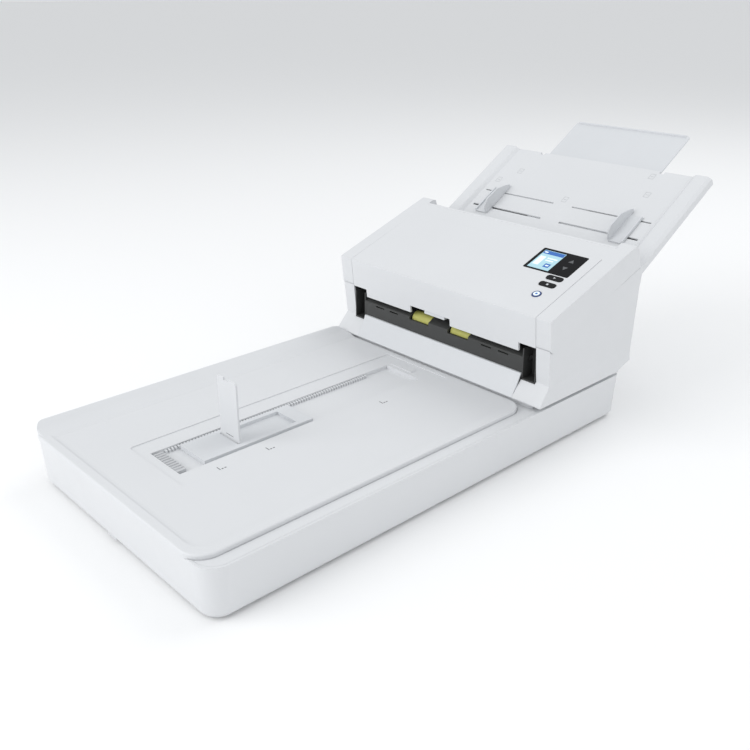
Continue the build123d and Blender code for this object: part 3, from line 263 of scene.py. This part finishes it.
LOOKS = {
    "white_shell": finish("white_shell", (0.69, 0.70, 0.715), 0.42, 0.02),
    "light_shell": finish("light_shell", (0.655, 0.67, 0.69), 0.45, 0.03),
    "charcoal": finish("charcoal", (0.045, 0.046, 0.045), 0.55, 0.15, 1800.0, 0.00003),
    "steel": finish("steel", (0.55, 0.56, 0.57), 0.3, 0.08, 700.0, 0.00001, metal=1.0),
    "olive_rubber": finish("olive_rubber", (0.50, 0.49, 0.13), 0.6, 0.12, 1100.0, 0.00004),
    "black_rubber": finish("black_rubber", (0.02, 0.02, 0.02), 0.7, 0.2, 1100.0, 0.00004),
    "grey_rubber": finish("grey_rubber", (0.56, 0.57, 0.585), 0.65, 0.1, 1100.0, 0.00004),
    "board": finish("board", (0.02, 0.16, 0.06), 0.4, 0.2, 400.0, 0.00003),
    "dark_plastic": finish("dark_plastic", (0.06, 0.06, 0.065), 0.5, 0.15),
    "gloss_black": finish("gloss_black", (0.003, 0.003, 0.004), 0.3, 0.2, 300.0, 0.000002, sheen=0.12),
    "key_black": finish("key_black", (0.008, 0.008, 0.009), 0.4, 0.15, 900.0, 0.000008, sheen=0.15),
    "key_blue": finish("key_blue", (0.03, 0.06, 0.20), 0.3, 0.1, 900.0, 0.000008),
    "grey_key": finish("grey_key", (0.10, 0.105, 0.11), 0.4, 0.1, 900.0, 0.000008),
    "foam_white": finish("foam_white", (0.86, 0.86, 0.86), 0.85, 0.04, 2500.0, 0.00008),
    "screen": finish("screen", (0.42, 0.66, 0.74), 0.2, 0.05, 300.0, 0.000002),
}
print("finishes:", len(LOOKS))

# %% [markdown]
# The flatbed's window is a plain sheet of glass. It could be drawn as a faint grey film, but then nothing
# would bend the light under it. The same recipe with most of its light let through is closer to the real
# thing, and the rod and belt below it can be seen when the lid is open.

# %% Clear glass for the flatbed, and a finish for every part
def clear_glass():
    """Mostly see-through, with a trace of green and a little uneven gloss."""
    made = finish("glass", (0.86, 0.93, 0.90), 0.06, 0.04, 200.0, 0.000001)
    shader = made.node_tree.nodes["Principled BSDF"]
    shader.inputs["Transmission Weight"].default_value = 0.85
    shader.inputs["IOR"].default_value = 1.5
    return made


LOOKS["glass"] = clear_glass()
SLOTS = {entry["node"]: entry["material_slot"] for entry in frame["record"]["subparts"]}


def dress(piece, look):
    """Gives a piece one material and drops what it had."""
    piece.data.materials.clear()
    piece.data.materials.append(LOOKS[look])


for node, thing in NODES.items():
    dress(thing, SLOTS[node])
print("dressed parts:", len(SLOTS))

# %% [markdown]
# ## Softer edges
#
# Real mouldings have no razor edges: a radius of half a millimetre to a millimetre catches a line of light
# along every corner. The loaded meshes are sharp, so each visible shell gets a copy whose doubled points
# are merged and whose corners are rounded by a Bevel modifier. Only corners above a set angle are
# rounded, so flat faces and curved walls stay as they are.

# %% Copies with rounded corners
SHARP = math.radians(35)  # corners above this angle are rounded
FLAT_ENOUGH = math.radians(1.0)  # triangles below this angle become one face
SAME_POINT = 1e-6


def softened(node, width, segments=2):
    """A copy of a part with bevelled corners, which stands for the part."""
    source = NODES[node]
    shape = bmesh.new()
    shape.from_mesh(source.data)
    bmesh.ops.remove_doubles(shape, verts=shape.verts, dist=SAME_POINT)
    bmesh.ops.dissolve_limit(shape, angle_limit=FLAT_ENOUGH, verts=shape.verts, edges=shape.edges)
    for face in shape.faces:
        face.smooth = True
    mesh = bpy.data.meshes.new(node + "_soft")
    shape.to_mesh(mesh)
    shape.free()
    piece = add_object(node + "_soft", mesh)
    bevel = piece.modifiers.new("edges", "BEVEL")
    bevel.width, bevel.segments, bevel.limit_method = width, segments, "ANGLE"
    bevel.angle_limit = SHARP
    bevel.miter_outer = "MITER_ARC"
    level = piece.modifiers.new("flat_faces", "WEIGHTED_NORMAL")
    level.mode, level.weight, level.keep_sharp = "FACE_AREA", 100, False
    piece.data.materials.append(LOOKS[SLOTS[node]])
    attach(piece, source["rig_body"])
    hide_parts(node)
    return piece


SOFT = {  # bevel widths in metres, in the order the copies are made
    "base_tub": 0.0012, "top_frame": 0.0005, "lid_shell": 0.0005, "lower_housing": 0.0009,
    "cover_shell": 0.0009, "top_panel": 0.0006, "tray_top": 0.0008, "tray_extension": 0.0004,
    "exit_ramp": 0.0004, "exit_fascia": 0.0003, "paper_guide_right": 0.0003, "paper_guide_left": 0.0003,
    "stopper_flap": 0.0003, "stopper_sled": 0.0003, "release_tab": 0.0003, "tray_bottom": 0.0003,
    "scan_button": 0.0003, "stop_button": 0.0003, "power_button": 0.0004, "display_bezel": 0.0002,
    "stopper_grip": 0.0002, "hinge_brackets": 0.0004, "rubber_feet": 0.0006,
    "power_inlet": 0.0003, "lid_pan": 0.0004,
}
for node, width in SOFT.items():
    softened(node, width)
print("softened:", len(SOFT))

# %% [markdown]
# ## Printed and moulded marks
#
# Small marks make a plain shell believable: graphics on the screen, signs on the keys, size ticks on the
# lid and little page signs on the tray. They could be painted with a texture, but then each shell would
# need a layout for it. Here each mark is a very thin closed solid that stands a twentieth of a millimetre
# proud. Its outline is drawn on the part's own slope, given by two directions in the surface and the one
# that points out of it.

# %% Directions of the two slopes
RIGHT = Vector((1, 0, 0))
PANEL_OUT = -Vector(JOINTS["scan_button_press"]["axis"]).normalized()
TRAY_UP = Vector(JOINTS["extension_slide"]["axis"]).normalized()
PANEL_UP, TRAY_OUT = PANEL_OUT.cross(RIGHT), RIGHT.cross(TRAY_UP)
FLAT = (RIGHT, Vector((0, 1, 0)), Vector((0, 0, 1)))
PANEL = (RIGHT, PANEL_UP, PANEL_OUT)
SLOPE = (RIGHT, TRAY_UP, TRAY_OUT)
print("panel leans", round(math.degrees(math.acos(PANEL_OUT.z)), 1), "tray leans",
      round(math.degrees(math.acos(TRAY_OUT.z)), 1), "degrees")


def extent(node, direction):
    """Lowest and highest dot product of a part's points with a direction."""
    mesh = NODES[node].data
    points = np.empty(3 * len(mesh.vertices), dtype=np.float32)
    mesh.vertices.foreach_get("co", points)
    reach = points.reshape(-1, 3) @ np.array(direction)
    return float(reach.min()), float(reach.max())


ABOVE = 0.9  # a height in metres that is over every part


def surface(node, x, y, axes):
    """Where a ray straight down at (x, y) meets the part, as its dot products with the three axes."""
    mesh = NODES[node].data
    tree = BVHTree.FromPolygons([v.co for v in mesh.vertices], [f.vertices[:] for f in mesh.polygons])
    hit = tree.ray_cast(Vector((x, y, ABOVE)), Vector((0, 0, -1)))[0]
    return [hit.dot(axis) for axis in axes]


# %% Thin solids from outlines
def bar(x0, x1, y0, y1):
    """Outline of a rectangle."""
    return [(x0, y0), (x1, y0), (x1, y1), (x0, y1)]


def disc(x, y, radius, steps=32):
    """Outline of a circle: x + radius cos(turn), y + radius sin(turn)."""
    turn = np.linspace(0, 2 * math.pi, steps, endpoint=False)
    return np.column_stack([x + radius * np.cos(turn), y + radius * np.sin(turn)])


def frame_bars(x0, x1, y0, y1, line):
    """Four bars round a rectangle, which leave a fifth of a line open at each corner."""
    inner0, inner1 = y0 + 1.2 * line, y1 - 1.2 * line
    return [bar(x0, x1, y0, y0 + line), bar(x0, x1, y1 - line, y1),
            bar(x0, x0 + line, inner0, inner1), bar(x1 - line, x1, inner0, inner1)]


def prism(outline, axes, low, high, first):
    """A closed solid on an outline: each (a, b) becomes a across + b up + h out, at h = low and h = high.

    The lower ring is read backwards and the sides run from each point to the next, so every face points
    outwards. The faces count their points from the number first.
    """
    n = len(outline)
    rings = [np.column_stack([outline, np.full(n, h)]) for h in (low, high)]
    points = np.concatenate(rings) @ np.array([axis[:] for axis in axes])
    here = first + np.arange(n)
    after = np.roll(here, -1)
    sides = np.column_stack([here, after, n + after, n + here])
    return points.tolist(), [here[::-1].tolist(), (n + here).tolist(), *sides.tolist()]


def stamp(name, outlines, axes, low, high, body, look):
    """Thin closed solids between two heights along the outward axis, one for each outline."""
    points, faces = [], []
    for outline in outlines:
        more_points, more_faces = prism(outline, axes, low, high, len(points))
        points += more_points
        faces += more_faces
    mesh = bpy.data.meshes.new(name)
    mesh.from_pydata(points, [], faces)
    piece = add_object(name, mesh)
    piece.data.materials.append(LOOKS[look])
    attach(piece, body)
    return piece


THIN = 0.00005
print("marks stand", THIN * 1000, "mm proud")

# %% [markdown]
# ## The screen
#
# A small colour screen shows a header, a page and two lines of text. The picture could be one painted
# sheet, but flat bars stay sharp at any distance. A lit screen also gives off a little light of its own,
# so its three finishes glow faintly in their own colour.

# %% Finishes that glow
LOOKS["screen_blue"] = finish("screen_blue", (0.02, 0.12, 0.42), 0.2, 0.05, 300.0, 0.000002)
LOOKS["screen_white"] = finish("screen_white", (0.82, 0.92, 0.96), 0.2, 0.03, 300.0, 0.000002)
GLOW = {"screen": 0.12, "screen_blue": 0.2, "screen_white": 0.15}
for look, glow in GLOW.items():
    lit = LOOKS[look].node_tree
    shader = lit.nodes["Principled BSDF"]
    link(lit, shader.inputs["Base Color"].links[0].from_socket, shader.inputs["Emission Color"])
    shader.inputs["Emission Strength"].default_value = glow
print("glowing finishes:", sorted(GLOW))

# %% Pictures on the screen
screen_x0, screen_x1 = extent("lcd_screen", RIGHT)
screen_y0, screen_y1 = extent("lcd_screen", PANEL_UP)
screen_top = extent("lcd_screen", PANEL_OUT)[1]
wide, tall = screen_x1 - screen_x0, screen_y1 - screen_y0


def on_screen(a0, a1, b0, b1):
    """A bar given in shares of the screen's width and height."""
    return bar(screen_x0 + a0 * wide, screen_x0 + a1 * wide, screen_y0 + b0 * tall, screen_y0 + b1 * tall)


HEADER, ICON = (0.02, 0.98, 0.80, 0.98), (0.60, 0.86, 0.14, 0.34)
PALE = [(0.08, 0.34, 0.18, 0.66), (0.44, 0.90, 0.58, 0.64), (0.44, 0.80, 0.46, 0.52),
        (0.06, 0.22, 0.86, 0.92), (0.66, 0.80, 0.21, 0.27)]  # page, two lines, header mark, icon mark
blue = [on_screen(*shares) for shares in (HEADER, ICON)]
pale = [on_screen(*shares) for shares in PALE]
stamp("screen_header", blue, PANEL, screen_top - THIN, screen_top + THIN, "cover", "screen_blue")
stamp("screen_signs", pale, PANEL, screen_top - THIN, screen_top + 2 * THIN, "cover", "screen_white")
print("screen", round(wide * 1000, 1), "by", round(tall * 1000, 1), "mm")

# %% [markdown]
# ## The keys
#
# Start and stop have a small white sign, and the round key has a pale lit face with a blue dot. Printing
# them as solids on the key's own body means that they sink with the key when it is pressed.

# %% Signs on the keys
TRIANGLE_BACK, TRIANGLE_TIP = 0.0013, 0.0015  # from the key's middle, in metres
SQUARE_HALF = 0.0012
FACE_R, DOT_R = 0.0036, 0.0014


def middle(node, axes):
    """Middle of a part along the two surface directions, and the height of its top."""
    a, b = extent(node, axes[0]), extent(node, axes[1])
    return (a[0] + a[1]) / 2, (b[0] + b[1]) / 2, extent(node, axes[2])[1]


LOOKS["print_white"] = finish("print_white", (0.62, 0.64, 0.66), 0.5, 0.03)
# Grey for the printed size marks, and also for a line of painted shade where the stopper has a slot.
LOOKS["grey_print_and_slot_shade"] = finish("grey_print_and_slot_shade", (0.12, 0.125, 0.13), 0.6, 0.05)

x, y, top = middle("scan_button", PANEL)
back = x - TRIANGLE_BACK
triangle = [(back, y - TRIANGLE_BACK), (x + TRIANGLE_TIP, y), (back, y + TRIANGLE_BACK)]
stamp("start_sign", [triangle], PANEL, top - THIN, top + THIN, "scan_button", "print_white")

x, y, top = middle("stop_button", PANEL)
square = bar(x - SQUARE_HALF, x + SQUARE_HALF, y - SQUARE_HALF, y + SQUARE_HALF)
stamp("stop_sign", [square], PANEL, top - THIN, top + THIN, "stop_button", "print_white")

x, y, top = middle("power_button", PANEL)
stamp("power_face", [disc(x, y, FACE_R)], PANEL, top - THIN, top + THIN, "power_button", "screen_white")
stamp("power_sign", [disc(x, y, DOT_R)], PANEL, top - THIN, top + 2 * THIN, "power_button", "screen_blue")
print("round key's top at", round(top * 1000, 2), "mm along the panel's outward direction")

# %% [markdown]
# ## The lid's channel
#
# The page stopper slides in a channel. A row of fine teeth along the channel's left side holds it where it
# is put, a ribbed strip marks the front, and a raised bar closes the back. Short printed corner marks to
# the right show where the stopper goes for each paper length.

# %% Teeth along the channel and its end bar
TOOTH, TOOTH_STEP, TOOTH_REACH, TOOTH_HEIGHT = 0.0016, 0.0035, 0.0038, 0.0030
FIRST_TOOTH, LAST_TOOTH, TOOTH_CLEARANCE = 0.004, 0.065, 0.0008  # behind the grip, before the lid's rear edge
END_X, END_Y, END_HEIGHT = (-0.005, 0.029), (0.017, 0.025), 0.0007  # from the plate, before the lid's rear edge

lid_low, lid_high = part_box("lid_shell")
sled_low, sled_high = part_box("stopper_sled")
grip_low, grip_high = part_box("stopper_grip")
floor_z = grip_low.z
tooth_x1 = sled_low.x - TOOTH_CLEARANCE
tooth_y = np.arange(grip_high.y + FIRST_TOOTH, lid_high.y - LAST_TOOTH, TOOTH_STEP)
teeth = [bar(tooth_x1 - TOOTH_REACH, tooth_x1, y, y + TOOTH) for y in tooth_y]
stamp("channel_teeth", teeth, FLAT, floor_z - THIN, floor_z + TOOTH_HEIGHT, "lid", "white_shell")

end_x0, end_x1 = sled_low.x + END_X[0], sled_low.x + END_X[1]
end_y0, end_y1 = lid_high.y - END_Y[1], lid_high.y - END_Y[0]
ledge = surface("lid_shell", (end_x0 + end_x1) / 2, (end_y0 + end_y1) / 2, FLAT)[2]
end_bar = bar(end_x0, end_x1, end_y0, end_y1)
stamp("channel_end", [end_bar], FLAT, ledge - THIN, ledge + END_HEIGHT, "lid", "white_shell")
print("teeth:", len(teeth), "end bar at z", round(ledge * 1000, 2), "mm")

# %% Size marks to the right of the channel
MARK_Y = (0.095, 0.150, 0.298)  # behind the lid's front edge
LINE_X, POST_X = (0.0165, 0.0225), (0.0210, 0.0223)  # to the right of the stopper's plate
LINE_WIDTH, POST_Y = 0.0009, ((0.0022, 0.0042), (0.0054, 0.0074))  # a line across, and two posts behind it

marks = []
line_x0, line_x1, post_x0, post_x1 = (sled_high.x + shift for shift in (*LINE_X, *POST_X))
for shift in MARK_Y:
    y = lid_low.y + shift
    marks.append(bar(line_x0, line_x1, y, y + LINE_WIDTH))
    marks += [bar(post_x0, post_x1, y + near, y + far) for near, far in POST_Y]
lid_z = surface("lid_shell", post_x1, y, FLAT)[2]
stamp("size_marks", marks, FLAT, lid_z - THIN, lid_z + THIN, "lid", "grey_print_and_slot_shade")
print("size marks:", len(marks), "at z", round(lid_z * 1000, 2), "mm")

# %% A line of painted shade for the slot near the foot of the page stopper
FACE_FRONT = (RIGHT, Vector((0, 0, 1)), Vector((0, -1, 0)))
SLOT_HALF, SLOT_Z = 0.006, (0.0065, 0.0071)
BLADE_HALF = 0.0011  # half the blade's thickness

flap_low, flap_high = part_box("stopper_flap")
flap_mid = (flap_low.x + flap_high.x) / 2
blade_front = BLADE_HALF - (flap_low.y + flap_high.y) / 2
slot = bar(flap_mid - SLOT_HALF, flap_mid + SLOT_HALF, flap_low.z + SLOT_Z[0], flap_low.z + SLOT_Z[1])
# The grey bar is painted shade that stands for the dark inside of the slot.
stamp("stopper_slot_shade", [slot], FACE_FRONT, blade_front - THIN, blade_front + THIN, "stopper_flap", "grey_print_and_slot_shade")
print("stopper is", round((flap_high.z - flap_low.z) * 1000, 1), "mm tall")

# %% [markdown]
# ## Signs on the tray
#
# The input tray has a few small embossed page signs: an outlined sheet with a bar inside. On the real tray
# they are plain plastic and show only by their edges. Such low edges would hardly show in a picture, so
# these are raised a little more than the prints. They also get a finish one shade darker than the tray,
# which is painted shade for the shadow along their edges.

# %% Embossed page signs
SIGN_PLACES = [  # from the middle of the tray's front edge, in plan
    (-0.098, 0.12846), (-0.003, 0.09896), (0.093, 0.12746), (0.081, 0.15446), (-0.119, 0.10946)]
PAGE_HALF_X, PAGE_HALF_Y, PAGE_LINE = 0.0035, 0.0045, 0.0005
INNER_HALF_X, INNER_HALF_Y = 0.0018, 0.0004
EMBOSS = 0.00015

pages = []
tray_low, tray_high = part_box("tray_top")
tray_mid = (tray_low.x + tray_high.x) / 2
for x, y in SIGN_PLACES:
    a, b, tray_h = surface("tray_top", tray_mid + x, tray_low.y + y, SLOPE)
    pages += frame_bars(a - PAGE_HALF_X, a + PAGE_HALF_X, b - PAGE_HALF_Y, b + PAGE_HALF_Y, PAGE_LINE)
    pages.append(bar(a - INNER_HALF_X, a + INNER_HALF_X, b - INNER_HALF_Y, b + INNER_HALF_Y))
    print("sign at", round(a, 4), round(b, 4), "height", round(tray_h, 4))
# Darker than the tray: painted shade for the shadow along the signs' edges, not a colour of their own.
LOOKS["emboss_painted_shade"] = finish("emboss_painted_shade", (0.55, 0.56, 0.57), 0.5, 0.03)
stamp("tray_signs", pages, SLOPE, tray_h - THIN, tray_h + EMBOSS, "tray", "emboss_painted_shade")
